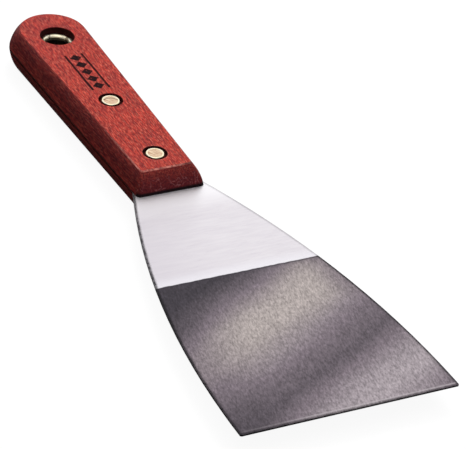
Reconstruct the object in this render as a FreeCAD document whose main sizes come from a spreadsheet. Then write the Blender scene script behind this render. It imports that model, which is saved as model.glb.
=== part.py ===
import FreeCAD, Part
import math
import os
import Sketcher
from FreeCAD import Placement, Rotation, Vector

# A painter's stripping knife: a broad spring-steel blade whose flat tang runs the whole length
# of a wooden handle.  The handle is two equal wooden scales, one on each side of the tang.
# Two brass cutler's rivets and one brass hanging eyelet hold the scales on.
#
# Row frame: +X points at the cutting edge, +Z is up, and the knife lies on its lower scale.
# The origin is on that resting plane, midway along the knife and on its centre line.
# Sketches are drawn in a handle frame of their own: x = 0 is the front of the handle at the
# tang, the blade is on +x and the handle on -x.

DIMENSIONS = (
    ("edge_width", 75.0, "cutting edge, corner to corner"),
    ("blade_length", 123.0, "front of the handle to the cutting edge"),
    ("blade_side_radius", 331.0, "each long side of the blade, tangent to X at the edge"),
    ("steel_thickness", 0.9, "tang and the unground part of the blade"),
    ("edge_thickness", 0.5, "at the cutting edge"),
    ("unground_length", 48.0, "front of the handle to where the taper grinding starts"),
    ("blade_corner_radius", 0.6, "the two corners of the cutting edge"),
    ("tang_inset", 0.5, "the tang stands this far inside the wood"),
    ("scale_thickness", 6.75, "one wooden scale, tang to outer face"),
    ("butt_centre", 96.0, "front of the handle to the centre of the round butt"),
    ("butt_radius", 14.75, "round butt, at the tang"),
    ("front_half_width", 12.3, "half the handle's width at its front, at the tang"),
    ("front_corner_radius", 1.5, "front corners of a scale, at the tang"),
    ("side_draw_in", 2.85, "how far the sides and butt of a scale lean in at its outer face"),
    ("front_draw_in", 4.6, "how far the front of a scale leans back at its outer face"),
    ("face_corner_radius", 1.2, "front corners of a scale, at its outer face"),
    ("belly_share", 0.32, "share of the lean that is reached at half thickness"),
    ("face_bevel", 0.35, "sanded bevel around the outer face of a scale"),
    ("front_rivet_place", 13.8, "front of the handle to the front rivet"),
    ("rear_rivet_place", 48.3, "front of the handle to the rear rivet"),
    ("rivet_head_radius", 3.05, "brass rivet head"),
    ("rivet_seat_radius", 4.25, "counterbore around a rivet head"),
    ("rivet_seat_depth", 1.6, "depth of that counterbore"),
    ("rivet_head_dish", 0.12, "hollow in the middle of a rivet head"),
    ("rivet_head_rim", 0.55, "width of the raised rim of a rivet head"),
    ("rivet_head_break", 0.12, "chamfer around a rivet head"),
    ("rivet_head_sink", 0.1, "how far the head stands below the outer face"),
    ("tube_radius", 2.4, "outside of the hollow rivet half"),
    ("pin_radius", 1.55, "shank of the solid rivet half"),
    ("pin_point", 0.35, "chamfer on the end of the pin"),
    ("pin_end_gap", 0.9, "end of the pin to the head of the other half"),
    ("tube_end_gap", 0.15, "mouth of the tube to the head of the other half"),
    ("shank_clearance", 0.05, "around the pin, the tube and the eyelet barrel"),
    ("hang_hole_place", 92.3, "front of the handle to the hanging hole"),
    ("eyelet_seat_radius", 6.1, "counterbore that the eyelet lies in"),
    ("eyelet_seat_depth", 3.4, "depth of that counterbore"),
    ("eyelet_flange_radius", 5.9, "brass eyelet and washer, outside"),
    ("eyelet_bore_radius", 4.1, "opening that a hook passes through"),
    ("eyelet_wall", 0.45, "sheet brass of the eyelet and its washer"),
    ("flange_roll_radius", 1.05, "rolled top of the eyelet's flange"),
    ("flange_rim_height", 0.8, "upright outside of that flange, above its seat"),
    ("eyelet_lip_radius", 5.3, "lip that is rolled over the washer, outside"),
    ("lip_roll_radius", 0.75, "rolled underside of that lip"),
)
SHEET = "Dimensions"
HALF_STEEL = "Dimensions.steel_thickness / 2"
HANDLE_LENGTH = "(Dimensions.butt_centre + Dimensions.butt_radius)"
FRONT_X = HANDLE_LENGTH + " / 2 - Dimensions.blade_length / 2"
TANG_MIDDLE_Z = "Dimensions.scale_thickness + " + HALF_STEEL

START, END, CENTRE = 1, 2, 3
X_AXIS = -1
Y_AXIS = -2
ORIGIN_POINT = (-1, 1)

# The first guess of a length that a sketch then solves, and the smallest length that counts.
GUESS = 1.0
TOLERANCE = 1e-4


def make_sheet(doc):
    """Write the driving dimensions into the spreadsheet, one aliased cell each."""
    sheet = doc.addObject("Spreadsheet::Sheet", SHEET)
    for row, (alias, value, meaning) in enumerate(DIMENSIONS, start=1):
        sheet.set(f"A{row}", meaning)
        sheet.set(f"B{row}", str(value))
        sheet.setAlias(f"B{row}", alias)
    doc.recompute()
    return sheet


def size(alias):
    """A driving dimension's own number, for the first guess that a sketch is solved from."""
    return next(value for name, value, _ in DIMENSIONS if name == alias)


def origin_feature(body, role):
    """One of a body's own origin planes or axes, found by its role."""
    return next(item for item in body.Origin.OriginFeatures if item.Role == role)


def make_body(doc, label, along=FRONT_X, up=TANG_MIDDLE_Z, turned_over=False):
    """A body placed along X and up Z by the sheet; turned over, it faces down."""
    body = doc.addObject("PartDesign::Body", label)
    body.Label = label
    if turned_over:
        body.Placement = Placement(Vector(), Rotation(Vector(1, 0, 0), 180))
    body.setExpression("Placement.Base.x", along)
    body.setExpression("Placement.Base.z", up)
    return body


def make_sketch(body, name, role="XY_Plane", offset=None):
    """A sketch on one of the body's origin planes, raised by an expression if one is given."""
    sketch = body.newObject("Sketcher::SketchObject", name)
    sketch.AttachmentSupport = [(origin_feature(body, role), "")]
    sketch.MapMode = "FlatFace"
    if offset:
        sketch.setExpression("AttachmentOffset.Base.z", offset)
    return sketch


def constrain(sketch, kind, *places):
    sketch.addConstraint(Sketcher.Constraint(kind, *places))


def dimension(sketch, name, expression, kind, *places):
    """Add a driving constraint and bind its value to the sheet."""
    index = sketch.addConstraint(Sketcher.Constraint(kind, *places))
    sketch.renameConstraint(index, name)
    sketch.setExpression("Constraints." + name, expression)


def pocket_through(body, name, sketch):
    """Cut a sketch right through the body, both ways, and check that it removes material."""
    before = body.Shape.Volume
    pocket = body.newObject("PartDesign::Pocket", name)
    pocket.Profile = sketch
    pocket.Type = "ThroughAll"
    pocket.Midplane = True
    body.Document.recompute()
    if body.Shape.Volume >= before:
        raise RuntimeError(f"{name} removes nothing")
    return pocket


def circles(sketch, places):
    """Circles centred on the X axis; each place is (name, distance behind x = 0, radius)."""
    for name, distance, radius in places:
        middle = Vector(-size(distance), 0, 0)
        circle = sketch.addGeometry(Part.Circle(middle, Vector(0, 0, 1), GUESS))
        constrain(sketch, "PointOnObject", circle, CENTRE, X_AXIS)
        dimension(sketch, name + "_place", "Dimensions." + distance,
                  "DistanceX", circle, CENTRE, *ORIGIN_POINT, size(distance))
        dimension(sketch, name + "_radius", radius, "Radius", circle, GUESS)


def round_butt(sketch, side_start, radius_guess):
    """Add the butt arc and the two side lines, as solved from a first guess; return the three."""
    centre = Vector(-size("butt_centre"), 0, 0)
    lean = math.asin((radius_guess - side_start.y) / (side_start.x - centre.x))
    touch = centre + radius_guess * Vector(math.sin(lean), math.cos(lean), 0)
    mirrored = Vector(touch.x, -touch.y, 0)
    side_end = Vector(side_start.x, -side_start.y, 0)
    angle = math.atan2(touch.y, touch.x - centre.x)
    circle = Part.Circle(centre, Vector(0, 0, 1), radius_guess)
    right = sketch.addGeometry(Part.LineSegment(side_start, touch))
    butt = sketch.addGeometry(Part.ArcOfCircle(circle, angle, 2 * math.pi - angle))
    left = sketch.addGeometry(Part.LineSegment(mirrored, side_end))
    constrain(sketch, "Tangent", right, END, butt, START)
    constrain(sketch, "Tangent", butt, END, left, START)
    constrain(sketch, "PointOnObject", butt, CENTRE, X_AXIS)
    dimension(sketch, "butt_centre", "Dimensions.butt_centre",
              "DistanceX", butt, CENTRE, *ORIGIN_POINT, size("butt_centre"))
    return right, butt, left


def scale_outline(body, name, level, share, corner_radius):
    """One level of a wooden scale, drawn in by a share of the full lean.

    level, share and corner_radius are expressions of the sheet.  The side lines meet the front
    line at two virtual corners, which carry the width, and an arc rounds each of them.
    """
    sketch = make_sketch(body, name, offset=level)
    half_width = size("front_half_width") - GUESS
    radius = GUESS
    front = -GUESS
    corner = Vector(front, half_width, 0)
    butt_guess = size("butt_radius") - GUESS
    right, butt, left = round_butt(sketch, corner - Vector(radius, 0, 0), butt_guess)

    line_start = Vector(front, -half_width + radius, 0)
    line_end = Vector(front, half_width - radius, 0)
    front_line = sketch.addGeometry(Part.LineSegment(line_start, line_end))
    upper_centre = Vector(front - radius, half_width - radius, 0)
    lower_centre = Vector(front - radius, radius - half_width, 0)
    upper_circle = Part.Circle(upper_centre, Vector(0, 0, 1), radius)
    lower_circle = Part.Circle(lower_centre, Vector(0, 0, 1), radius)
    upper_arc = sketch.addGeometry(Part.ArcOfCircle(upper_circle, 0, math.pi / 2))
    lower_arc = sketch.addGeometry(Part.ArcOfCircle(lower_circle, -math.pi / 2, 0))
    constrain(sketch, "Vertical", front_line)
    constrain(sketch, "Tangent", front_line, END, upper_arc, START)
    constrain(sketch, "Tangent", upper_arc, END, right, START)
    constrain(sketch, "Tangent", left, END, lower_arc, START)
    constrain(sketch, "Tangent", lower_arc, END, front_line, START)
    constrain(sketch, "Equal", upper_arc, lower_arc)

    upper_corner = sketch.addGeometry(Part.Point(corner), True)
    lower_corner = sketch.addGeometry(Part.Point(Vector(front, -half_width, 0)), True)
    constrain(sketch, "PointOnObject", upper_corner, START, front_line)
    constrain(sketch, "PointOnObject", upper_corner, START, right)
    constrain(sketch, "PointOnObject", lower_corner, START, left)
    constrain(sketch, "Symmetric", upper_corner, START, lower_corner, START, X_AXIS)

    drawn_in = f"Dimensions.side_draw_in * ({share})"
    dimension(sketch, "front_place", f"Dimensions.front_draw_in * ({share})",
              "DistanceX", upper_corner, START, *ORIGIN_POINT, -front)
    dimension(sketch, "half_width", f"Dimensions.front_half_width - {drawn_in}",
              "DistanceY", *ORIGIN_POINT, upper_corner, START, half_width)
    dimension(sketch, "corner_radius", corner_radius, "Radius", upper_arc, radius)
    dimension(sketch, "butt_radius", f"Dimensions.butt_radius - {drawn_in}",
              "Radius", butt, butt_guess)
    return sketch


def make_scale(doc, label, up, turned_over):
    """One wooden scale: lofted from the tang to its outer face, with its holes and seats."""
    body = make_body(doc, label, up=up, turned_over=turned_over)
    shoulder = "Dimensions.scale_thickness - Dimensions.face_bevel"
    middle_radius = "(Dimensions.front_corner_radius * 2 + Dimensions.face_corner_radius) / 3"
    tang_level = scale_outline(body, label + "_at_tang", "0 mm", "0",
                               "Dimensions.front_corner_radius")
    middle_level = scale_outline(body, label + "_at_middle", f"({shoulder}) / 2",
                                 "Dimensions.belly_share", middle_radius)
    shoulder_level = scale_outline(body, label + "_at_shoulder", shoulder, "1",
                                   "Dimensions.face_corner_radius")
    face_share = "1 + Dimensions.face_bevel / Dimensions.side_draw_in"
    face_level = scale_outline(body, label + "_at_face", "Dimensions.scale_thickness", face_share,
                               "Dimensions.face_corner_radius - Dimensions.face_bevel / 2")
    doc.recompute()
    block = body.newObject("PartDesign::AdditiveLoft", label + "_block")
    block.Profile = tang_level
    block.Sections = [middle_level, shoulder_level]
    block.Ruled = False
    doc.recompute()
    bevel = body.newObject("PartDesign::AdditiveLoft", label + "_bevel")
    bevel.Profile = shoulder_level
    bevel.Sections = [face_level]
    bevel.Ruled = True
    doc.recompute()

    shanks = make_sketch(body, label + "_shank_holes")
    shank_hole = "Dimensions.tube_radius + Dimensions.shank_clearance"
    barrel_hole = "Dimensions.eyelet_bore_radius + Dimensions.eyelet_wall + Dimensions.shank_clearance"
    circles(shanks, (("front_rivet", "front_rivet_place", shank_hole),
                     ("rear_rivet", "rear_rivet_place", shank_hole),
                     ("eyelet", "hang_hole_place", barrel_hole)))
    pocket_through(body, label + "_bores", shanks)

    rivet_places = ("front_rivet", "rear_rivet")
    rivet_seats = [(name, name + "_place", "Dimensions.rivet_seat_radius") for name in rivet_places]
    cut_seats(body, label + "_rivet_seats", rivet_seats, "Dimensions.rivet_seat_depth")
    eyelet_seat = [("eyelet", "hang_hole_place", "Dimensions.eyelet_seat_radius")]
    cut_seats(body, label + "_eyelet_seat", eyelet_seat, "Dimensions.eyelet_seat_depth")
    return body


def cut_seats(body, name, places, depth):
    """Counterbores sunk from the outer face of a scale."""
    sketch = make_sketch(body, name + "_outline", offset="Dimensions.scale_thickness")
    circles(sketch, places)
    body.Document.recompute()
    before = body.Shape.Volume
    pocket = body.newObject("PartDesign::Pocket", name)
    pocket.Profile = sketch
    pocket.Type = "Length"
    pocket.setExpression("Length", depth)
    body.Document.recompute()
    if body.Shape.Volume >= before:
        raise RuntimeError(f"{name} removes nothing")


def make_blade(doc):
    """Blade and tang in one piece of steel, ground thinner towards the cutting edge."""
    body = make_body(doc, "blade")
    steel = body.newObject("PartDesign::Pad", "blade_sheet")
    steel.Profile = blade_outline(body)
    steel.Midplane = True
    steel.setExpression("Length", "Dimensions.steel_thickness")
    doc.recompute()

    for side, upward in (("upper", True), ("lower", False)):
        grind = grind_wedge(body, side, upward)
        pocket_through(body, f"blade_{side}_grind", grind)

    holes = make_sketch(body, "blade_holes")
    shank_hole = "Dimensions.tube_radius + Dimensions.shank_clearance"
    barrel_hole = "Dimensions.eyelet_bore_radius + Dimensions.eyelet_wall + Dimensions.shank_clearance"
    circles(holes, (("front_rivet", "front_rivet_place", shank_hole),
                    ("rear_rivet", "rear_rivet_place", shank_hole),
                    ("eyelet", "hang_hole_place", barrel_hole)))
    punched = pocket_through(body, "blade_bores", holes)

    corners = body.newObject("PartDesign::Fillet", "blade_corners")
    corners.Base = (punched, corner_edges(punched.Shape))
    corners.setExpression("Radius", "Dimensions.blade_corner_radius")
    doc.recompute()
    return body


def blade_outline(body):
    """Plan of blade and tang: two long arcs from the cutting edge down to the straight tang."""
    sketch = make_sketch(body, "blade_outline")
    length = size("blade_length")
    half_edge = size("edge_width") / 2
    side_radius = size("blade_side_radius")
    tang_half = size("front_half_width") - size("tang_inset")
    arc_centre = Vector(length, half_edge - side_radius, 0)
    neck_height = tang_half - arc_centre.y
    neck = Vector(length - math.sqrt(side_radius ** 2 - neck_height ** 2), tang_half, 0)
    radius_guess = size("butt_radius") - size("tang_inset")
    right, butt, left = round_butt(sketch, neck, radius_guess)

    low_corner = Vector(length, -half_edge, 0)
    high_corner = Vector(length, half_edge, 0)
    edge = sketch.addGeometry(Part.LineSegment(low_corner, high_corner))
    lift = math.acos((neck.x - length) / side_radius)
    upper_circle = Part.Circle(arc_centre, Vector(0, 0, 1), side_radius)
    lower_circle = Part.Circle(Vector(length, -arc_centre.y, 0), Vector(0, 0, 1), side_radius)
    upper = sketch.addGeometry(Part.ArcOfCircle(upper_circle, math.pi / 2, lift))
    lower = sketch.addGeometry(Part.ArcOfCircle(lower_circle, -lift, -math.pi / 2))
    constrain(sketch, "Coincident", edge, END, upper, START)
    constrain(sketch, "Coincident", edge, START, lower, END)
    constrain(sketch, "Coincident", upper, END, right, START)
    constrain(sketch, "Coincident", lower, START, left, END)
    constrain(sketch, "Symmetric", edge, START, edge, END, X_AXIS)
    constrain(sketch, "Vertical", upper, CENTRE, edge, END)
    constrain(sketch, "Symmetric", upper, CENTRE, lower, CENTRE, X_AXIS)

    upper_front = sketch.addGeometry(Part.Point(Vector(0, tang_half, 0)), True)
    lower_front = sketch.addGeometry(Part.Point(Vector(0, -tang_half, 0)), True)
    constrain(sketch, "PointOnObject", upper_front, START, Y_AXIS)
    constrain(sketch, "PointOnObject", upper_front, START, right)
    constrain(sketch, "PointOnObject", lower_front, START, left)
    constrain(sketch, "Symmetric", upper_front, START, lower_front, START, X_AXIS)

    dimension(sketch, "blade_length", "Dimensions.blade_length",
              "DistanceX", *ORIGIN_POINT, edge, END, length)
    dimension(sketch, "edge_width", "Dimensions.edge_width",
              "DistanceY", edge, START, edge, END, 2 * half_edge)
    dimension(sketch, "side_radius", "Dimensions.blade_side_radius", "Radius", upper, side_radius)
    dimension(sketch, "tang_half", "Dimensions.front_half_width - Dimensions.tang_inset",
              "DistanceY", *ORIGIN_POINT, upper_front, START, tang_half)
    dimension(sketch, "butt_radius", "Dimensions.butt_radius - Dimensions.tang_inset",
              "Radius", butt, radius_guess)
    return sketch


def grind_wedge(body, side, upward):
    """The thin wedge that grinding takes off one face, drawn on the lengthwise plane."""
    sketch = make_sketch(body, f"blade_{side}_wedge", role="XZ_Plane")
    way = 1 if upward else -1
    start = size("unground_length")
    end = size("blade_length")
    surface = size("steel_thickness") / 2
    edge_level = size("edge_thickness") / 2
    clear = size("steel_thickness")
    points = [Vector(start, way * surface, 0), Vector(end, way * edge_level, 0),
              Vector(end, way * clear, 0), Vector(start, way * clear, 0)]
    lines = []
    for index, point in enumerate(points):
        following = points[(index + 1) % len(points)]
        lines.append(sketch.addGeometry(Part.LineSegment(point, following)))
    for index, line in enumerate(lines):
        constrain(sketch, "Coincident", line, END, lines[(index + 1) % len(lines)], START)
    ground, face_side, top, near_side = lines
    constrain(sketch, "Vertical", face_side)
    constrain(sketch, "Horizontal", top)
    constrain(sketch, "Vertical", near_side)
    dimension(sketch, "start", "Dimensions.unground_length",
              "DistanceX", *ORIGIN_POINT, ground, START, start)
    dimension(sketch, "end", "Dimensions.blade_length",
              "DistanceX", *ORIGIN_POINT, ground, END, end)
    heights = (("surface", HALF_STEEL, (ground, START), surface),
               ("edge_level", "Dimensions.edge_thickness / 2", (ground, END), edge_level),
               ("clear_of_steel", "Dimensions.steel_thickness", (top, START), clear))
    for name, expression, place, height in heights:
        ends = (*ORIGIN_POINT, *place) if upward else (*place, *ORIGIN_POINT)
        dimension(sketch, name, expression, "DistanceY", *ends, height)
    return sketch


def corner_edges(shape):
    """The two upright edges at the ends of the cutting edge."""
    names = []
    for number, edge in enumerate(shape.Edges, start=1):
        box = edge.BoundBox
        upright = box.XLength < TOLERANCE and box.YLength < TOLERANCE
        if upright and abs(box.XMax - size("blade_length")) < TOLERANCE:
            names.append(f"Edge{number}")
    return names


def turned_piece(doc, label, place, section, turned_over=False):
    """A turned brass piece on an upright axis; its z = 0 is the middle of the tang.

    section goes once round the half section.  Each entry is (radius, height, roll): two
    expressions of the sheet, and the radius of the rolled side that follows, or None if that
    side is straight.  A radius of None puts the point on the axis.
    """
    body = make_body(doc, label, FRONT_X + " - Dimensions." + place, turned_over=turned_over)
    sketch = make_sketch(body, label + "_section", role="XZ_Plane")
    corners = []
    for radius, height, _ in section:
        across = evaluate(body, radius) if radius else 0.0
        corners.append(Vector(across, evaluate(body, height), 0))
    sides = []
    for index, (_, _, roll) in enumerate(section):
        ends = corners[index], corners[(index + 1) % len(corners)]
        sides.append(rolled_side(sketch, *ends, evaluate(body, roll)) if roll else
                     (sketch.addGeometry(Part.LineSegment(*ends)), START, END))
    for index, (radius, height, roll) in enumerate(section):
        side, first, last = sides[index]
        following, meets, _ = sides[(index + 1) % len(sides)]
        constrain(sketch, "Coincident", side, last, following, meets)
        if radius:
            dimension(sketch, f"radius_{index}", radius,
                      "DistanceX", *ORIGIN_POINT, side, first, corners[index].x)
        else:
            constrain(sketch, "PointOnObject", side, first, Y_AXIS)
        if corners[index].y > 0:
            dimension(sketch, f"height_{index}", height,
                      "DistanceY", *ORIGIN_POINT, side, first, corners[index].y)
        else:
            dimension(sketch, f"height_{index}", f"-({height})",
                      "DistanceY", side, first, *ORIGIN_POINT, -corners[index].y)
        if roll:
            dimension(sketch, f"roll_{index}", roll, "Radius", side, evaluate(body, roll))
    turning = body.newObject("PartDesign::Revolution", label + "_turning")
    turning.Profile = sketch
    turning.ReferenceAxis = (sketch, ["V_Axis"])
    turning.Angle = 360
    doc.recompute()
    return body


def evaluate(item, expression):
    """The number that an expression of the sheet gives now."""
    return float(item.evalExpression(expression))


def rolled_side(sketch, start, end, radius):
    """Add an arc that bulges to the right of the way from start to end.

    An arc runs anticlockwise in its sketch, so it is returned with which end comes first.
    """
    chord = end - start
    sunk = math.sqrt(radius ** 2 - (chord.Length / 2) ** 2)
    outward = Vector(chord.y, -chord.x, 0).normalize()
    centre = (start + end) / 2 - sunk * outward
    first = math.atan2(start.y - centre.y, start.x - centre.x)
    last = math.atan2(end.y - centre.y, end.x - centre.x)
    circle = Part.Circle(centre, Vector(0, 0, 1), radius)
    return sketch.addGeometry(Part.ArcOfCircle(circle, first, last)), START, END


def rivet_head(rim_level, seat_level):
    """Half section of a rivet head, from its hollow middle to the rim and down to its seat."""
    hollow = f"{rim_level} - Dimensions.rivet_head_dish"
    head = "Dimensions.rivet_head_radius"
    break_size = "Dimensions.rivet_head_break"
    return [
        (head, seat_level, None),
        (head, f"{rim_level} - {break_size}", None),
        (f"{head} - {break_size}", rim_level, None),
        (f"{head} - Dimensions.rivet_head_rim", rim_level, None),
        (f"{head} - Dimensions.rivet_head_rim - 2 * {break_size}", hollow, None),
        (None, hollow, None),
    ]


def make_rivet(doc, name):
    """A cutler's rivet: a solid half driven from above into a hollow half from below."""
    face_level = f"{HALF_STEEL} + Dimensions.scale_thickness"
    rim_level = face_level + " - Dimensions.rivet_head_sink"
    seat_level = face_level + " - Dimensions.rivet_seat_depth"
    head = rivet_head(rim_level, seat_level)
    pin = "Dimensions.pin_radius"
    tip = f"-({seat_level}) + Dimensions.pin_end_gap"
    point = "Dimensions.pin_point"
    shank = [
        (None, tip, None),
        (f"{pin} - {point}", tip, None),
        (pin, f"{tip} + {point}", None),
        (pin, seat_level, None),
    ]
    tube = "Dimensions.tube_radius"
    bore = f"{pin} + Dimensions.shank_clearance"
    mouth = f"-({seat_level}) + Dimensions.tube_end_gap"
    sleeve = [
        (None, seat_level, None),
        (bore, seat_level, None),
        (bore, mouth, None),
        (tube, mouth, None),
        (tube, seat_level, None),
    ]
    place = name + "_place"
    return [
        turned_piece(doc, name + "_pin", place, head + shank),
        turned_piece(doc, name + "_tube", place, head + sleeve, turned_over=True),
    ]


def make_eyelet(doc):
    """The eyelet, rolled over its upper seat, and the washer that its lower end is rolled over."""
    seat = f"{HALF_STEEL} + Dimensions.scale_thickness - Dimensions.eyelet_seat_depth"
    wall = "Dimensions.eyelet_wall"
    flange = "Dimensions.eyelet_flange_radius"
    bore = "Dimensions.eyelet_bore_radius"
    barrel = f"{bore} + {wall}"
    lip = "Dimensions.eyelet_lip_radius"
    washer_outside = f"-({seat} + {wall})"
    eyelet = [
        (flange, seat, None),
        (flange, f"{seat} + Dimensions.flange_rim_height", "Dimensions.flange_roll_radius"),
        (bore, seat, None),
        (bore, washer_outside, "Dimensions.lip_roll_radius"),
        (lip, f"{washer_outside} - {wall}", None),
        (lip, washer_outside, None),
        (barrel, washer_outside, None),
        (barrel, seat, None),
    ]
    washer_bore = f"{barrel} + Dimensions.shank_clearance"
    washer = [
        (washer_bore, washer_outside, None),
        (flange, washer_outside, None),
        (flange, f"-({seat})", None),
        (washer_bore, f"-({seat})", None),
    ]
    return [
        turned_piece(doc, "hang_eyelet", "hang_hole_place", eyelet),
        turned_piece(doc, "hang_eyelet_washer", "hang_hole_place", washer),
    ]


def write_parts(doc, bodies):
    """Check every object of the document, then write one STEP file for each sub-part."""
    doc.recompute()
    for item in doc.Objects:
        if "Invalid" in item.State or "Error" in item.State:
            raise RuntimeError(f"{item.Label} failed: {item.State}")
    for body in bodies:
        if body.Shape.isNull() or not body.Shape.isValid():
            raise RuntimeError(f"{body.Label} has no valid shape")
    os.makedirs("parts", exist_ok=True)
    for body in bodies:
        body.Shape.exportStep(f"parts/{body.Label}.step")
        box = body.Shape.BoundBox
        print(f"{body.Label}: {body.Shape.Volume:.1f} mm3, solids {len(body.Shape.Solids)}, "
              f"x {box.XMin:.2f}..{box.XMax:.2f}, y {box.YMin:.2f}..{box.YMax:.2f}, "
              f"z {box.ZMin:.2f}..{box.ZMax:.2f}")


document = FreeCAD.newDocument("StrippingKnife")
make_sheet(document)
sub_parts = [
    make_blade(document),
    make_scale(document, "upper_scale", TANG_MIDDLE_Z + " + " + HALF_STEEL, False),
    make_scale(document, "lower_scale", TANG_MIDDLE_Z + " - " + HALF_STEEL, True),
    *make_rivet(document, "front_rivet"),
    *make_rivet(document, "rear_rivet"),
    *make_eyelet(document),
]
write_parts(document, sub_parts)
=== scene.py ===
import math

import bmesh
import bpy
from mathutils import Matrix, Vector


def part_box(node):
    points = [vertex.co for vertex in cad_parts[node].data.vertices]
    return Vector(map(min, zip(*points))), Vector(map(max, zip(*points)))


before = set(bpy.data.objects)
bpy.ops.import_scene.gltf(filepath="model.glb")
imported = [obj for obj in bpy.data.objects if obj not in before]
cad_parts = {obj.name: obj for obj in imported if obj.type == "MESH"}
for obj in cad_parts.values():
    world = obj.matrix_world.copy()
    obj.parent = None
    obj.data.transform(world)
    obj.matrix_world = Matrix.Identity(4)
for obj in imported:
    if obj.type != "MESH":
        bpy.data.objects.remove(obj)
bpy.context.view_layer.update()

# A painter's stripping knife.  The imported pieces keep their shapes, and this script gives each
# one its finish: cross-brushed and ground steel, red-stained wood, and brass.  +X points at the
# cutting edge and +Z is up.  Lengths are in metres.

MM = 0.001

# Places on the knife, read from its pieces.
_, SCALE_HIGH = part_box("upper_scale")
BLADE_LOW, BLADE_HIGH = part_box("blade")
HANDLE_FRONT = SCALE_HIGH[0]
EDGE_X = BLADE_HIGH[0]
FACE_Z = SCALE_HIGH[2]
TANG_Z = (BLADE_LOW[2] + BLADE_HIGH[2]) / 2
SCALE_DEPTH = FACE_Z - TANG_Z
GRIND_LINE = HANDLE_FRONT + 48 * MM
MARK_MIDDLE = HANDLE_FRONT - 67.4 * MM
RIVET_SEAT_RADIUS = 4.25 * MM
EYELET_SEAT_RADIUS = 6.1 * MM


def middle(node):
    """The middle of a piece's box."""
    low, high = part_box(node)
    return (Vector(low) + Vector(high)) / 2


def rgb(red, green, blue):
    """A colour given as 0 to 255 screen values, in the linear values that shaders use."""
    def linear(value):
        share = value / 255
        return share / 12.92 if share <= 0.04045 else ((share + 0.055) / 1.055) ** 2.4
    return (linear(red), linear(green), linear(blue), 1.0)


class Nodes:
    """Adds shader nodes to a tree and links what feeds them."""

    def __init__(self, tree):
        self.tree = tree

    def feed(self, socket, value):
        """Link a socket, or set it to a plain value."""
        if isinstance(value, bpy.types.NodeSocket):
            self.tree.links.new(value, socket)
        else:
            socket.default_value = value

    def add(self, kind, inputs=None, **settings):
        """One node with its settings, and its inputs by name or number."""
        node = self.tree.nodes.new("ShaderNode" + kind)
        for name, value in settings.items():
            setattr(node, name, value)
        for name, value in (inputs or {}).items():
            self.feed(node.inputs[name], value)
        return node

    def math(self, operation, first, second=0.0, third=0.0):
        """One sum: the name of its operation, then the numbers that it works on."""
        inputs = {0: first, 1: second}
        if operation == "MULTIPLY_ADD":
            inputs[2] = third
        return self.add("Math", inputs, operation=operation).outputs[0]

    def place(self):
        """Object coordinates, in metres."""
        return self.add("TexCoord").outputs["Object"]

    def axes(self, place):
        """The three parts of a place."""
        return self.add("SeparateXYZ", {0: place}).outputs

    def gap(self, first, second):
        """How far apart two numbers are."""
        return self.math("ABSOLUTE", self.math("SUBTRACT", first, second))

    def from_axis(self, place):
        """How far a place is from the Z axis."""
        x, y, _ = self.axes(place)
        return self.math("SQRT", self.math("ADD", self.both(x, x), self.both(y, y)))

    def shifted(self, place, turn=0.0, centre=(0, 0, 0)):
        """Coordinates measured from a centre, on axes turned about Z."""
        moved = self.add("VectorMath", {0: place, 1: centre}, operation="SUBTRACT").outputs[0]
        return self.add("VectorRotate", {"Vector": moved, "Angle": -turn},
                        rotation_type="Z_AXIS").outputs[0]

    def noise(self, place, per_metre, detail=4.0, roughness=0.55, distortion=0.0):
        """Noise with its own number of lumps per metre along each axis."""
        scaled = self.add("VectorMath", {0: place, 1: per_metre}, operation="MULTIPLY").outputs[0]
        node = self.add("TexNoise", {"Vector": scaled, "Scale": 1.0, "Detail": detail,
                                     "Roughness": roughness, "Distortion": distortion})
        return node.outputs["Fac"]

    def ramp(self, value, low, high, start=0.0, end=1.0, kind="LINEAR"):
        """Map low..high to start..end, and hold the ends."""
        node = self.add("MapRange", {"Value": value, "From Min": low, "From Max": high,
                                     "To Min": start, "To Max": end},
                        interpolation_type=kind, clamp=True)
        return node.outputs[0]

    def soft(self, value, low, high, start=0.0, end=1.0):
        """The same with eased ends; low may be the greater of the two."""
        return self.ramp(value, low, high, start, end, kind="SMOOTHSTEP")

    def mix(self, share, first, second, blend="MIX"):
        """Mix two colours."""
        node = self.add("Mix", data_type="RGBA", blend_type=blend)
        self.feed(node.inputs[0], share)
        self.feed(node.inputs[6], first)
        self.feed(node.inputs[7], second)
        return node.outputs[2]

    def either(self, share, first, second):
        """Mix two numbers."""
        node = self.add("Mix", data_type="FLOAT")
        self.feed(node.inputs[0], share)
        self.feed(node.inputs[2], first)
        self.feed(node.inputs[3], second)
        return node.outputs[0]

    def both(self, *values):
        """Multiply masks together."""
        result = values[0]
        for value in values[1:]:
            result = self.math("MULTIPLY", result, value)
        return result

    def bump(self, height, distance, strength=1.0):
        """A normal that follows a height."""
        node = self.add("Bump", {"Height": height, "Distance": distance, "Strength": strength})
        return node.outputs[0]

    def group(self, tree, **values):
        """A shared effect, given its inputs by name: its outputs."""
        node = self.add("Group")
        node.node_tree = tree
        for name, value in values.items():
            self.feed(node.inputs[name.replace("_", " ")], value)
        return node.outputs


def new_group(name, inputs, outputs):
    """An empty shader group with named sockets: its tree, helper, given values and results."""
    tree = bpy.data.node_groups.new(name, "ShaderNodeTree")
    for label, kind, value in inputs:
        socket = tree.interface.new_socket(name=label, in_out="INPUT",
                                           socket_type="NodeSocket" + kind)
        socket.default_value = value
    for label, kind in outputs:
        tree.interface.new_socket(name=label, in_out="OUTPUT", socket_type="NodeSocket" + kind)
    given = tree.nodes.new("NodeGroupInput")
    results = tree.nodes.new("NodeGroupOutput")
    return tree, Nodes(tree), given.outputs, results.inputs


def new_material(name):
    """A material, the helper for its nodes, and its Principled shader's inputs."""
    material = bpy.data.materials.new(name)
    material.use_nodes = True
    shader = material.node_tree.nodes["Principled BSDF"]
    return material, Nodes(material.node_tree), shader.inputs


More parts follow.
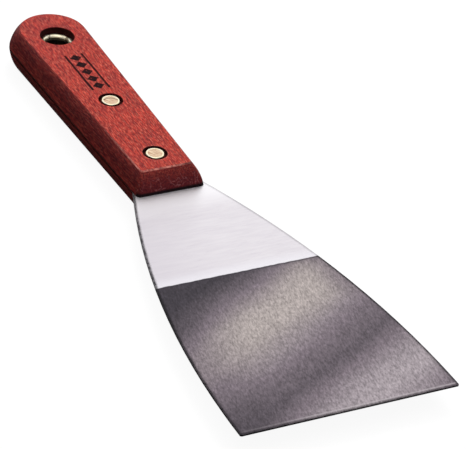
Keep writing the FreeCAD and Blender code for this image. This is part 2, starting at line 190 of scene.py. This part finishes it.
def dress(node, material):
    """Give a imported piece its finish."""
    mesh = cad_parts[node].data
    mesh.materials.clear()
    mesh.materials.append(material)


# ---------------------------------------------------------------------------------------------
# Effects that several finishes share
# ---------------------------------------------------------------------------------------------

def make_edge_wear_and_dark_rim():
    """1 along a piece's edges, 0 away from them, broken up in patches: rubbed wear on the wood,
    and a painted dark reflection along the blade's rim.
    """
    tree, nodes, given, results = new_group(
        "edge_wear_and_dark_rim",
        [("Reach", "Float", 0.4 * MM), ("Patches", "Float", 600.0), ("Least", "Float", 0.2)],
        [("Edge", "Float")])
    rounded = nodes.add("Bevel", {"Radius": given["Reach"]}, samples=8).outputs[0]
    flat = nodes.add("NewGeometry").outputs["Normal"]
    facing = nodes.add("VectorMath", {0: rounded, 1: flat}, operation="DOT_PRODUCT")
    bend = nodes.math("SUBTRACT", 1.0, facing.outputs["Value"])
    edge = nodes.soft(bend, 0.002, 0.05)
    per_metre = nodes.add("CombineXYZ", {0: given["Patches"], 1: given["Patches"],
                                         2: given["Patches"]}).outputs[0]
    patches = nodes.noise(nodes.place(), per_metre, 4.0, 0.6)
    broken = nodes.ramp(patches, 0.40, 0.60, given["Least"], 1.0)
    nodes.feed(results["Edge"], nodes.both(edge, broken))
    return tree


def make_wood_stain_and_shade():
    """Red-stained, close-grained wood with its fibres along X, and painted shade on its sides,
    ends, shoulders and corners.
    """
    tree, nodes, given, results = new_group(
        "wood_stain_and_shade",
        [("Seed", "Float", 0.0)],
        [("Color", "Color"), ("Roughness", "Float"), ("Height", "Float")])
    seed = nodes.add("CombineXYZ", {0: given["Seed"], 1: given["Seed"], 2: given["Seed"]})
    place = nodes.add("VectorMath", {0: nodes.place(), 1: seed.outputs[0]}).outputs[0]
    clouds = nodes.noise(place, (35, 120, 120), 3.0, 0.5)
    bands = nodes.noise(place, (22, 420, 420), 3.0, 0.55, 0.4)
    fibres = nodes.noise(place, (170, 2300, 2300), 2.0, 0.6, 0.3)
    flecks = nodes.noise(place, (480, 3200, 3200), 1.0, 0.6)
    pores = nodes.noise(place, (260, 3400, 3400), 1.0, 0.5, 0.2)
    dark_fleck = nodes.math("MAXIMUM", nodes.soft(flecks, 0.54, 0.64),
                            nodes.soft(pores, 0.54, 0.63))
    pale_fleck = nodes.soft(flecks, 0.46, 0.36)
    butt = nodes.soft(nodes.axes(nodes.place())[0],
                      HANDLE_FRONT - 60 * MM, HANDLE_FRONT - 122 * MM)

    color = nodes.mix(nodes.soft(fibres, 0.36, 0.64), rgb(124, 18, 20), rgb(208, 66, 50))
    color = nodes.mix(nodes.ramp(bands, 0.35, 0.68, 0.0, 0.30), color, rgb(170, 46, 26))
    color = nodes.mix(nodes.ramp(clouds, 0.35, 0.70, 0.0, 0.25), color, rgb(146, 22, 36))
    color = nodes.mix(nodes.math("MULTIPLY", butt, 0.30), color, rgb(134, 22, 40))
    color = nodes.mix(nodes.ramp(dark_fleck, 0.0, 1.0, 0.0, 0.60), color, rgb(74, 6, 10))
    color = nodes.mix(nodes.ramp(pale_fleck, 0.0, 1.0, 0.0, 0.40), color, rgb(238, 128, 102))

    # Painted shade by which way a surface faces: the sides, shoulders, vertical corners and the
    # butt end are darker, and both end-grain ends are darker partly from staining and partly from
    # painted shade.
    facing = nodes.axes(nodes.add("NewGeometry").outputs["True Normal"])
    level = nodes.math("ABSOLUTE", facing[2])
    shaded_side = nodes.soft(level, 0.80, 0.30)
    end_stain_and_shade = nodes.soft(nodes.math("ABSOLUTE", facing[0]), 0.60, 0.90)
    shoulder_shade = nodes.both(nodes.soft(level, 0.97, 0.86), nodes.soft(level, 0.10, 0.45))
    corner_shade = nodes.soft(nodes.math("ABSOLUTE", nodes.both(facing[0], facing[1])), 0.22, 0.40)
    color = nodes.mix(nodes.math("MULTIPLY", shaded_side, 0.30), color, rgb(70, 24, 32))
    color = nodes.mix(nodes.math("MULTIPLY", end_stain_and_shade, 0.30), color, rgb(118, 40, 66))
    butt_end_shade = nodes.both(nodes.soft(facing[0], -0.10, -0.65), shaded_side, 0.5)
    color = nodes.mix(butt_end_shade, color, rgb(46, 8, 24))
    color = nodes.mix(nodes.both(shoulder_shade, 0.50), color, rgb(56, 12, 24))
    color = nodes.mix(nodes.both(corner_shade, shaded_side, 0.35), color, rgb(40, 6, 14))
    nodes.feed(results["Color"], color)
    matt = nodes.ramp(fibres, 0.3, 0.7, 0.46, 0.60)
    nodes.feed(results["Roughness"], nodes.either(shaded_side, matt, 0.85))
    nodes.feed(results["Height"], nodes.math("MULTIPLY_ADD", dark_fleck, -0.8, fibres))
    return tree


def make_brushing():
    """Fine scratches drawn along one direction in the plane of the blade."""
    tree, nodes, given, results = new_group(
        "brushing",
        [("Turn", "Float", 0.0), ("Along", "Float", 300.0), ("Across", "Float", 8000.0)],
        [("Scratches", "Float"), ("Streaks", "Float")])
    turned = nodes.add("VectorRotate", {"Vector": nodes.place(), "Angle": given["Turn"]},
                       rotation_type="Z_AXIS").outputs[0]
    fine = nodes.add("CombineXYZ", {0: given["Along"], 1: given["Across"], 2: 200.0}).outputs[0]
    coarse = nodes.add("VectorMath", {0: fine, 1: (0.35, 0.22, 0.5)}, operation="MULTIPLY")
    nodes.feed(results["Scratches"], nodes.noise(turned, fine, 3.0, 0.6))
    nodes.feed(results["Streaks"], nodes.noise(turned, coarse.outputs[0], 4.0, 0.6))
    return tree


EDGE_WEAR_AND_DARK_RIM = make_edge_wear_and_dark_rim()
WOOD_STAIN_AND_SHADE = make_wood_stain_and_shade()
BRUSHING = make_brushing()


# ---------------------------------------------------------------------------------------------
# Finishes
# ---------------------------------------------------------------------------------------------

# The counterbores in a scale: the middle of each one's axis, and its radius.
SEATS = ((middle("front_rivet_pin"), RIVET_SEAT_RADIUS),
         (middle("rear_rivet_pin"), RIVET_SEAT_RADIUS),
         (middle("hang_eyelet"), EYELET_SEAT_RADIUS))


def printed_mark(nodes, place):
    """A maker's row of small printed lozenges between two rules, along the handle's face."""
    pitch, count, half_height, rule, half_width = 4.7 * MM, 5, 3.1 * MM, 0.55 * MM, 2.2 * MM
    half_length = pitch * count / 2
    x, y, z = nodes.axes(place)
    along = nodes.math("SUBTRACT", x, MARK_MIDDLE)
    step = nodes.math("DIVIDE", nodes.math("ADD", along, half_length), pitch)
    cell = nodes.gap(nodes.math("FRACT", step), 0.5)
    across = nodes.math("ABSOLUTE", y)
    slope = nodes.math("MULTIPLY_ADD", cell, 2.2, nodes.math("DIVIDE", across, half_width))
    lozenge = nodes.soft(slope, 1.04, 0.92)
    rules = nodes.soft(nodes.gap(across, half_height), rule, rule * 0.5)
    ends = nodes.soft(nodes.math("ABSOLUTE", along), half_length, half_length - 0.15 * MM)
    on_face = nodes.soft(z, FACE_Z - 0.12 * MM, FACE_Z - 0.05 * MM)
    ink = nodes.math("MAXIMUM", lozenge, rules)
    worn = nodes.soft(nodes.noise(place, (900, 2600, 2600), 4.0, 0.7), 0.26, 0.40)
    return nodes.both(ink, ends, on_face, worn)


def make_wood(name, seed, printed):
    """Stained wood, rubbed along its front edges, with painted shade in its seats and along the
    tang's seam, and a painted shadow line where the blade leaves the handle.
    """
    material, nodes, shader = new_material(name)
    place = nodes.place()
    stain_and_shade = nodes.group(WOOD_STAIN_AND_SHADE, Seed=seed)
    x, y, z = nodes.axes(place)
    from_tang = nodes.gap(z, TANG_Z)

    # Pale rubbed edges towards the front, a dark edge along +Y, and fine scratches on the front.
    wear = nodes.group(EDGE_WEAR_AND_DARK_RIM, Reach=0.6 * MM, Patches=380.0, Least=0.35)["Edge"]
    facing = nodes.axes(nodes.add("NewGeometry").outputs["True Normal"])
    flat = nodes.soft(nodes.math("ABSOLUTE", facing[2]), 0.95, 0.99)
    bevelled = nodes.both(nodes.soft(from_tang, SCALE_DEPTH - 0.40 * MM,
                                     SCALE_DEPTH - 0.30 * MM),
                          nodes.math("SUBTRACT", 1.0, flat))
    scraped = nodes.soft(nodes.noise(place, (420, 900, 900), 4.0, 0.65), 0.40, 0.62, 0.3, 1.0)
    front_end = nodes.soft(x, HANDLE_FRONT - 38 * MM, HANDLE_FRONT - 6 * MM, 0.05, 1.0)
    upper_edge = nodes.soft(from_tang, 4.5 * MM, 6.3 * MM)
    rubbed = nodes.math("MAXIMUM", nodes.both(wear, upper_edge, front_end, 0.35),
                        nodes.both(bevelled, scraped, front_end))
    color = nodes.mix(nodes.math("MULTIPLY", rubbed, 0.85), stain_and_shade["Color"], rgb(240, 150, 136))
    # A dark line painted along the bevel on the +Y side.
    dark_far_bevel = nodes.both(bevelled, nodes.soft(y, 2 * MM, 9 * MM), 0.75)
    color = nodes.mix(dark_far_bevel, color, rgb(66, 12, 16))
    hairs = nodes.noise(nodes.shifted(place, 0.5), (200, 420, 260), 2.0, 0.5, 1.2)
    scratch = nodes.soft(nodes.gap(hairs, 0.55), 0.022, 0.008)
    on_front = nodes.soft(x, HANDLE_FRONT - 3.5 * MM, HANDLE_FRONT - 1.5 * MM)
    color = nodes.mix(nodes.both(scratch, on_front, 0.45), color, rgb(190, 120, 120))

    # Painted shade down the walls of the rivet and eyelet seats.
    below_face = nodes.soft(from_tang, SCALE_DEPTH - 0.12 * MM, SCALE_DEPTH - 0.45 * MM)
    for axis, radius in SEATS:
        from_axis = nodes.from_axis(nodes.shifted(place, centre=axis))
        wall = nodes.soft(from_axis, radius + 0.15 * MM, radius + 0.05 * MM)
        color = nodes.mix(nodes.both(wall, below_face, 0.85), color, rgb(38, 8, 9))

    # Painted shade in the seam beside the tang, and a painted black shadow line where the blade
    # leaves the handle.
    seam_wobble = nodes.noise(place, (160, 160, 400), 3.0, 0.55)
    reach = nodes.ramp(seam_wobble, 0.3, 0.7, 0.65 * MM, 0.95 * MM)
    seam = nodes.math("SUBTRACT", 1.0, nodes.math("DIVIDE", from_tang, reach))
    seam_shade = nodes.soft(seam, 0.0, 0.45, 0.0, 0.85)
    color = nodes.mix(seam_shade, color, rgb(44, 8, 10))
    foot_shadow = nodes.both(nodes.soft(x, HANDLE_FRONT - 2.4 * MM, HANDLE_FRONT - 1.2 * MM),
                      nodes.soft(from_tang, 1.9 * MM, 1.1 * MM))
    color = nodes.mix(foot_shadow, color, rgb(20, 4, 8))
    rough = nodes.either(rubbed, stain_and_shade["Roughness"], 0.42)
    if printed:
        ink = printed_mark(nodes, place)
        color = nodes.mix(nodes.math("MULTIPLY", ink, 0.97), color, rgb(6, 2, 8))
        rough = nodes.either(ink, rough, 0.9)
    nodes.feed(shader["Base Color"], color)
    nodes.feed(shader["Roughness"], rough)
    nodes.feed(shader["Normal"], nodes.bump(stain_and_shade["Height"], 0.05 * MM, 0.8))
    shader["Specular IOR Level"].default_value = 0.15
    return material


# Tone of the ground steel in diagonal bands, partly its own tone and partly painted reflection:
# distance across the bands, in millimetres from the middle of the ground part, and the share of
# the light tone there.
GROUND_BANDS = ((-39, 0.0), (-34, 0.05), (-27, 0.32), (-20, 0.76), (-13, 1.0),
                (-4.5, 0.86), (4.5, 0.46), (13, 0.25), (18, 0.25), (26, 0.66),
                (32, 0.92), (36, 0.95), (42, 0.70))
BAND_TURN = math.radians(-62)
GRIND_TURN = math.radians(14)


def ground_tone_and_reflection(nodes, place):
    """Colour of the ground steel: soft diagonal bands of light and dark, partly its own tone and
    partly painted reflection.
    """
    centre = ((GRIND_LINE + EDGE_X) / 2, 0, 0)
    diagonal = nodes.shifted(place, BAND_TURN, centre)
    billow = nodes.noise(diagonal, (22, 60, 0), 3.0, 0.5)
    across = nodes.math("MULTIPLY_ADD", billow, 8 * MM, nodes.axes(diagonal)[1])
    across = nodes.math("SUBTRACT", across, 4 * MM)
    low, high = GROUND_BANDS[0][0], GROUND_BANDS[-1][0]
    bands = nodes.add("ValToRGB", {0: nodes.ramp(across, low * MM, high * MM)})
    bands.color_ramp.interpolation = "CARDINAL"
    stops = bands.color_ramp.elements
    while len(stops) < len(GROUND_BANDS):
        stops.new(0.5)
    for stop, (distance, share) in zip(stops, GROUND_BANDS):
        stop.position = (distance - low) / (high - low)
        stop.color = (share, share, share, 1)
    light = bands.outputs[0]

    # Part of the painted reflection: the -Y side and two corners are darker.
    x, y, _ = nodes.axes(place)
    light = nodes.both(light, nodes.soft(y, -8 * MM, -37 * MM, 1.0, 0.5))
    upper_corner = nodes.both(nodes.soft(y, 19 * MM, 31 * MM),
                              nodes.soft(x, GRIND_LINE + 30 * MM, GRIND_LINE + 12 * MM))
    light = nodes.both(light, nodes.ramp(upper_corner, 0.0, 1.0, 1.0, 0.5))
    from_corner = nodes.math("SUBTRACT", nodes.math("ADD", x, y), EDGE_X + 37 * MM)
    light = nodes.both(light, nodes.soft(from_corner, -16 * MM, -2 * MM, 1.0, 0.6))

    warm = nodes.soft(across, 6 * MM, -6 * MM)
    pale = nodes.mix(warm, rgb(169, 159, 164), rgb(176, 166, 163))
    tone = nodes.mix(nodes.ramp(light, 0.0, 0.4), rgb(64, 59, 66), rgb(124, 113, 121))
    return nodes.mix(nodes.ramp(light, 0.4, 1.0), tone, pale)


def make_steel():
    """Cross-brushed near the handle; darker and ground lengthwise towards the cutting edge."""
    material, nodes, shader = new_material("blade_steel")
    place = nodes.place()
    x, y, _ = nodes.axes(place)
    wander = nodes.noise(place, (20, 260, 0), 3.0, 0.6)
    line = nodes.math("MULTIPLY_ADD", wander, 0.7 * MM, GRIND_LINE - 0.35 * MM)
    past = nodes.math("SUBTRACT", x, line)
    ground = nodes.soft(past, -0.15 * MM, 0.25 * MM)

    cross = nodes.group(BRUSHING, Turn=math.pi / 2, Along=320.0, Across=3600.0)
    brushed = nodes.mix(nodes.soft(cross["Streaks"], 0.15, 0.85), rgb(223, 218, 224),
                        rgb(233, 229, 233))
    scored = nodes.soft(cross["Scratches"], 0.56, 0.76, 0.0, 0.40)
    brushed = nodes.mix(scored, brushed, rgb(200, 192, 201))
    # Painted shade on the -Y side of the bright steel.
    left_side_shade = nodes.soft(y, 6 * MM, -28 * MM, 0.0, 0.5)
    brushed = nodes.mix(left_side_shade, brushed, rgb(212, 206, 214))
    # Painted light by the handle, brightening the steel where the handle's shade and reflection
    # fall.
    near_handle_light = nodes.soft(x, HANDLE_FRONT + 16 * MM, HANDLE_FRONT, 0.0, 0.9)
    brushed = nodes.mix(near_handle_light, brushed, rgb(252, 250, 253))
    near_line = nodes.soft(past, -6 * MM, 0.0, 0.0, 0.5)
    brushed = nodes.mix(near_line, brushed, rgb(244, 243, 249))

    lengthwise = nodes.group(BRUSHING, Turn=GRIND_TURN, Along=700.0, Across=1900.0)
    dark = ground_tone_and_reflection(nodes, place)
    fine = nodes.ramp(lengthwise["Scratches"], 0.30, 0.70, 0.62, 1.34)
    coarse = nodes.ramp(nodes.noise(place, (700, 1100, 0), 3.0, 0.7, 0.6), 0.3, 0.7, 0.84, 1.14)
    grain = nodes.both(fine, coarse)
    grey = nodes.add("CombineXYZ", {0: grain, 1: grain, 2: grain}).outputs[0]
    dark = nodes.mix(1.0, dark, grey, blend="MULTIPLY")
    shade = nodes.soft(past, 2.5 * MM, 0.0, 0.0, 0.35)
    dark = nodes.mix(shade, dark, rgb(62, 56, 66))
    first_cut = nodes.soft(nodes.gap(past, 0.45 * MM), 0.5 * MM, 0.1 * MM, 0.0, 0.6)
    dark = nodes.mix(first_cut, dark, rgb(52, 47, 55))
    from_edge = nodes.math("SUBTRACT", EDGE_X, x)
    honed = nodes.both(nodes.soft(nodes.gap(from_edge, 1.3 * MM), 0.5 * MM, 0.1 * MM),
                       nodes.soft(y, -34 * MM, 0.0, 0.10, 0.50))
    dark = nodes.mix(honed, dark, rgb(196, 188, 192))

    # A painted dark reflection along the blade's rim, faint beside the bright steel's +Y side, and
    # a red-brown tang.
    tang = nodes.soft(x, HANDLE_FRONT - 4.0 * MM, HANDLE_FRONT - 5.5 * MM)
    color = nodes.mix(ground, brushed, dark)
    rim = nodes.group(EDGE_WEAR_AND_DARK_RIM, Reach=1.8 * MM, Patches=500.0, Least=0.8)["Edge"]
    rim_strength = nodes.math("MAXIMUM", ground, nodes.soft(y, 8 * MM, -4 * MM, 0.35, 1.0))
    color = nodes.mix(nodes.both(rim, rim_strength, 0.97), color, rgb(14, 12, 18))
    color = nodes.mix(tang, color, rgb(70, 26, 28))
    nodes.feed(shader["Base Color"], color)
    nodes.feed(shader["Metallic"], nodes.math("SUBTRACT", 1.0, tang))
    rough = nodes.either(ground, 0.44, nodes.ramp(lengthwise["Streaks"], 0.3, 0.7, 0.30, 0.40))
    nodes.feed(shader["Roughness"], rough)
    height = nodes.either(ground, cross["Scratches"], lengthwise["Scratches"])
    nodes.feed(shader["Normal"], nodes.bump(height, 0.04 * MM, 0.6))
    return material


def make_rivet_brass(name, centre, scrape):
    """A rivet head: bright turned rim, scuffed in its hollow, and scraped along one side."""
    material, nodes, shader = new_material(name)
    place = nodes.shifted(nodes.place(), centre=centre)
    hollow = nodes.soft(nodes.from_axis(place), 2.62 * MM, 2.32 * MM)
    turned = nodes.shifted(place, math.radians(35))
    scuffs = nodes.noise(turned, (350, 2600, 300), 4.0, 0.65)
    blotch = nodes.noise(place, (500, 500, 500), 3.0, 0.6)
    metal = nodes.mix(nodes.soft(blotch, 0.35, 0.65), rgb(250, 234, 192), rgb(255, 248, 222))
    dull = nodes.mix(nodes.soft(scuffs, 0.38, 0.62), rgb(196, 156, 126), rgb(242, 220, 190))
    color = nodes.mix(hollow, metal, dull)
    from_scrape = nodes.from_axis(nodes.shifted(place, centre=(1.6 * MM, -0.5 * MM, 0)))
    arc = nodes.soft(nodes.gap(from_scrape, 3.1 * MM), 0.30 * MM, 0.08 * MM)
    color = nodes.mix(nodes.both(arc, hollow, scrape), color, rgb(96, 70, 52))
    side = nodes.soft(nodes.math("ABSOLUTE", nodes.axes(place)[2]), 6.9 * MM, 6.6 * MM)
    color = nodes.mix(nodes.math("MULTIPLY", side, 0.7), color, rgb(92, 64, 34))
    nodes.feed(shader["Base Color"], color)
    shader["Metallic"].default_value = 1.0
    scuffed = nodes.ramp(scuffs, 0.3, 0.7, 0.34, 0.5)
    nodes.feed(shader["Roughness"], nodes.either(hollow, 0.24, scuffed))
    nodes.feed(shader["Normal"], nodes.bump(scuffs, 0.03 * MM, 0.5))
    return material


def make_eyelet_brass():
    """Bright rolled brass, tarnished in patches, with painted shade down in its throat."""
    material, nodes, shader = new_material("eyelet_brass")
    place = nodes.shifted(nodes.place(), centre=middle("hang_eyelet"))
    blotch = nodes.noise(place, (420, 420, 420), 4.0, 0.65)
    color = nodes.mix(nodes.soft(blotch, 0.35, 0.65), rgb(250, 238, 204), rgb(255, 250, 230))
    tarnish = nodes.soft(nodes.noise(place, (380, 380, 200), 2.0, 0.5), 0.56, 0.64)
    color = nodes.mix(nodes.math("MULTIPLY", tarnish, 0.8), color, rgb(84, 62, 30))
    from_tang = nodes.gap(nodes.axes(nodes.place())[2], TANG_Z)
    # Painted shade down in the throat.
    throat = nodes.soft(from_tang, 3.5 * MM, 3.0 * MM)
    color = nodes.mix(nodes.math("MULTIPLY", throat, 0.93), color, rgb(40, 28, 14))
    nodes.feed(shader["Base Color"], color)
    shader["Metallic"].default_value = 1.0
    nodes.feed(shader["Roughness"], nodes.ramp(blotch, 0.3, 0.7, 0.28, 0.40))
    nodes.feed(shader["Normal"], nodes.bump(blotch, 0.04 * MM, 0.4))
    return material


# ---------------------------------------------------------------------------------------------
# Studio
# ---------------------------------------------------------------------------------------------

def make_floor():
    """A wide, plain, pale floor at the knife's resting plane."""
    mesh = bpy.data.meshes.new("floor")
    made = bmesh.new()
    bmesh.ops.create_grid(made, x_segments=1, y_segments=1, size=8.0)
    made.to_mesh(mesh)
    made.free()
    floor = bpy.data.objects.new("floor", mesh)
    bpy.context.scene.collection.objects.link(floor)
    material, _, shader = new_material("pale_floor")
    shader["Base Color"].default_value = (0.10, 0.10, 0.10, 1)
    shader["Roughness"].default_value = 1.0
    shader["Specular IOR Level"].default_value = 0.0
    shader["Emission Color"].default_value = (1, 1, 1, 1)
    shader["Emission Strength"].default_value = 0.93
    mesh.materials.append(material)
    floor.visible_diffuse = False
    floor.visible_glossy = False


def make_camera():
    """The camera looks down the knife from in front of its cutting edge, to one side."""
    azimuth, elevation, roll = math.radians(31.0), math.radians(33.52), math.radians(7.18)
    distance = 969.43 * MM
    target = Vector((HANDLE_FRONT + 22.95 * MM, 11.03 * MM, TANG_Z))
    back = Vector((math.cos(elevation) * math.cos(azimuth),
                   -math.cos(elevation) * math.sin(azimuth), math.sin(elevation)))
    camera = bpy.data.objects.new("camera", bpy.data.cameras.new("camera"))
    bpy.context.scene.collection.objects.link(camera)
    camera.data.sensor_width = 36
    camera.data.lens = 231.76
    camera.rotation_mode = "QUATERNION"
    camera.location = target + distance * back
    upright = (-back).to_track_quat("-Z", "Y")
    camera.rotation_quaternion = upright @ Matrix.Rotation(roll, 4, "Z").to_quaternion()
    camera.data.clip_start, camera.data.clip_end = 0.01, 50
    bpy.context.scene.camera = camera


def make_lamp(name, towards, distance, side, watts):
    """A square soft lamp aimed at the knife from a direction."""
    lamp = bpy.data.lights.new(name, "AREA")
    lamp.energy = watts
    lamp.size = side
    placed = bpy.data.objects.new(name, lamp)
    bpy.context.scene.collection.objects.link(placed)
    placed.rotation_mode = "QUATERNION"
    placed.location = distance * Vector(towards).normalized()
    placed.rotation_quaternion = (-placed.location).to_track_quat("-Z", "Y")
    placed.visible_glossy = False


def make_world():
    """A very large soft light overhead and behind the butt, fading to dim surroundings.

    Shiny metal also finds two pale cards in front: a broad one low down, and a small bright one
    above.  The camera itself sees a pale wall beyond the floor.
    """
    world = bpy.data.worlds.new("studio")
    bpy.context.scene.world = world
    world.use_nodes = True
    nodes = Nodes(world.node_tree)
    background = world.node_tree.nodes["Background"]
    way = nodes.add("TexCoord").outputs["Generated"]
    brightest = Vector((-0.60, 0.38, 0.72)).normalized()
    nearness = nodes.add("VectorMath", {0: way, 1: brightest}, operation="DOT_PRODUCT")
    glow = nodes.soft(nearness.outputs["Value"], -0.10, 0.80)
    sky = nodes.mix(glow, (0.035, 0.032, 0.037, 1), (1.08, 1.08, 1.08, 1))
    card_way = Vector((0.42, -0.25, 0.87)).normalized()
    card = nodes.add("VectorMath", {0: way, 1: card_way}, operation="DOT_PRODUCT").outputs["Value"]
    low_card = nodes.soft(nodes.axes(way)[2], -0.10, 0.20, 0.0, 0.42)
    cards = nodes.math("MAXIMUM", low_card, nodes.soft(card, 0.82, 0.96, 0.0, 1.5))
    cards = nodes.add("CombineXYZ", {0: cards, 1: cards, 2: cards}).outputs[0]
    path = nodes.add("LightPath").outputs
    shiny_sky = nodes.mix(1.0, sky, cards, blend="LIGHTEN")
    sky = nodes.mix(path["Is Glossy Ray"], sky, shiny_sky)
    nodes.feed(background.inputs["Color"], nodes.mix(path["Is Camera Ray"], sky, (1, 1, 1, 1)))
    background.inputs["Strength"].default_value = 1.0


make_camera()
make_floor()
make_world()
make_lamp("key", (-0.62, 0.45, 0.85), 1.4, 0.7, 12)
bpy.context.scene.view_settings.view_transform = "Standard"

dress("blade", make_steel())
dress("upper_scale", make_wood("stained_wood_printed", 0.0, True))
dress("lower_scale", make_wood("stained_wood", 3.7, False))
for rivet, scrape in (("front_rivet", 0.0), ("rear_rivet", 0.8)):
    axis = middle(rivet + "_pin")
    brass = make_rivet_brass(rivet + "_brass", (axis.x, axis.y, TANG_Z), scrape)
    dress(rivet + "_pin", brass)
    dress(rivet + "_tube", brass)
eyelet_brass = make_eyelet_brass()
dress("hang_eyelet", eyelet_brass)
dress("hang_eyelet_washer", eyelet_brass)
